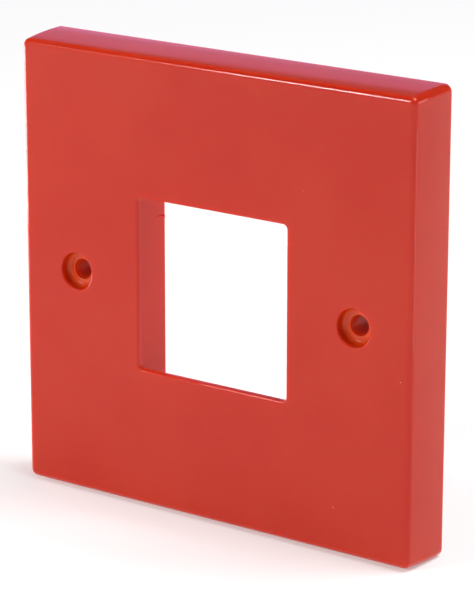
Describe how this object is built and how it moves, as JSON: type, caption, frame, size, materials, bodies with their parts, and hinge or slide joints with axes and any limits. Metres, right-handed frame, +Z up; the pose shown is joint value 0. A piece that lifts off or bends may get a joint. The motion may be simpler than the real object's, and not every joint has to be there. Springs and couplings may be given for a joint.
{
  "type": "call point face plate",
  "caption": "Square moulded face plate with a square insert opening between two recessed screw holes, rounded front edges and a ribbed open back.",
  "frame": {"origin": "midway between the two fixing screws, on the plane of the wall at the plate's open back", "axes": "+X to the right seen from the front, +Y into the wall, +Z up; the front face looks along -Y"},
  "size_m": [0.085, 0.0105, 0.085],
  "materials": {
    "red_plastic": "gloss"
  },
  "bodies": {
    "root": {"face_plate": "red_plastic"}
  },
  "joints": []
}
